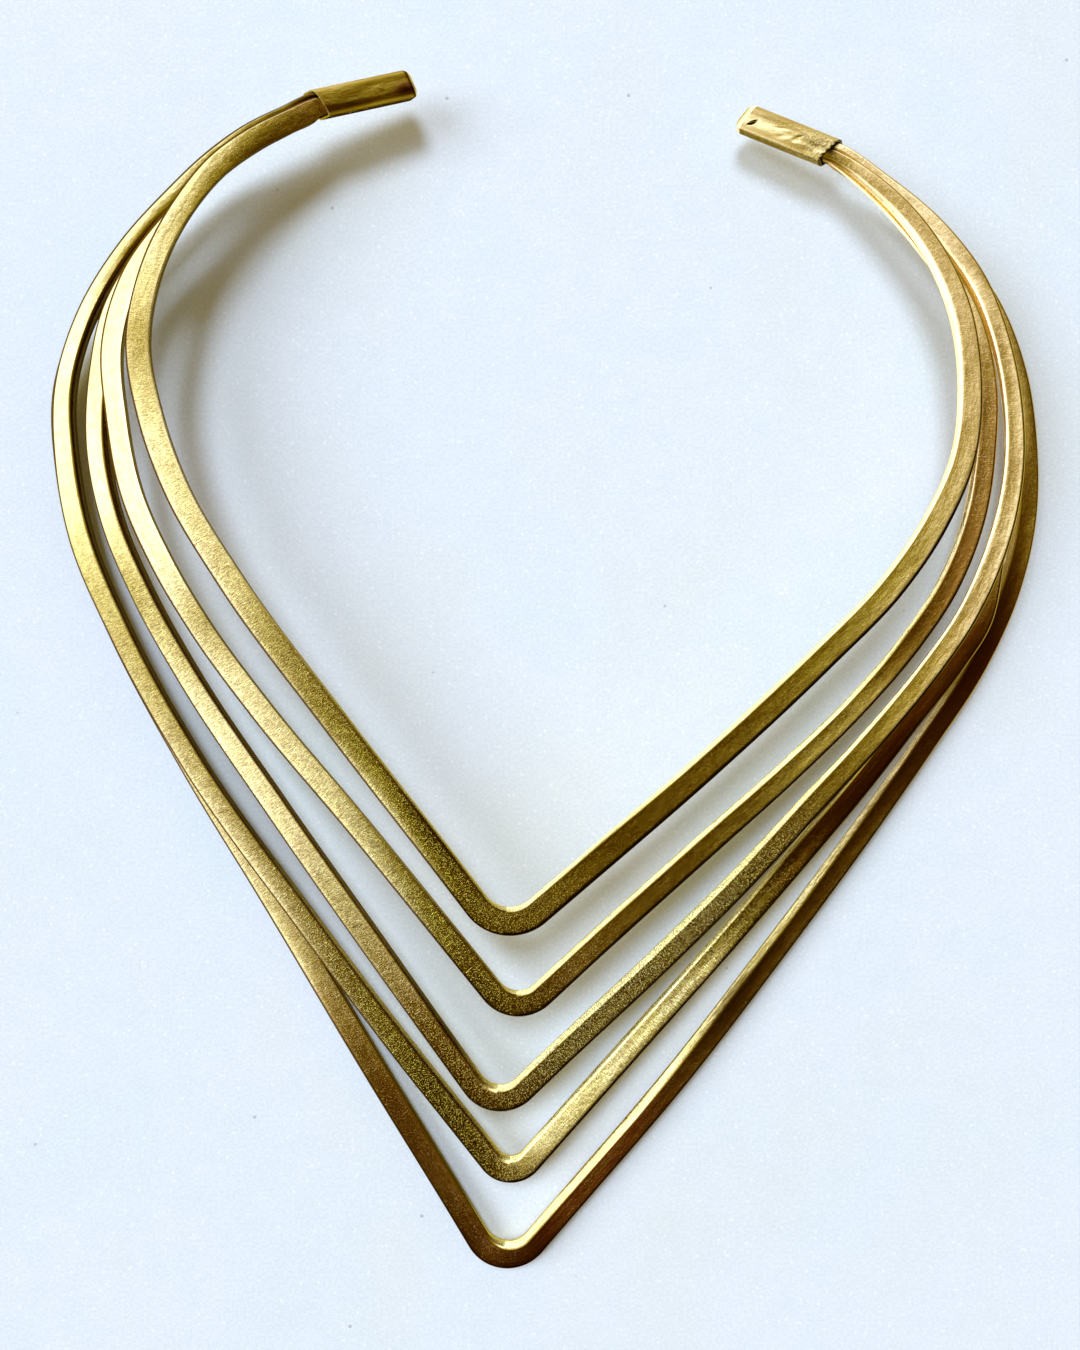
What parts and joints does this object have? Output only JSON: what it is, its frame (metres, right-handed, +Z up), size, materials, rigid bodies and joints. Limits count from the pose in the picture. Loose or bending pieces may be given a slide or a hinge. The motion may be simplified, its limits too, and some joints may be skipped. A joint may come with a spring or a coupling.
{
  "type": "collar choker",
  "caption": "Rigid open collar choker of stacked square brass wires, each bent to a point in front, gathered at the back into closed tube caps.",
  "frame": {"origin": "middle of the whole choker's box in X and Y, at its lowest point in Z", "axes": "+Y toward the opening at the back, -Y toward the points of the bends, +X toward the right cap, +Z up from the ground it lies on"},
  "size_m": [0.1554, 0.186, 0.0166],
  "materials": {
    "inner_wire": "brushed, worn",
    "second_wire": "brushed, worn",
    "third_wire": "brushed, worn",
    "fourth_wire": "brushed, worn",
    "outer_wire": "brushed, worn",
    "left_cap": "satin",
    "right_cap": "satin"
  },
  "bodies": {
    "root": {"inner_wire": "inner_wire", "second_wire": "second_wire", "third_wire": "third_wire", "fourth_wire": "fourth_wire", "outer_wire": "outer_wire", "left_cap": "left_cap", "right_cap": "right_cap"}
  },
  "joints": []
}
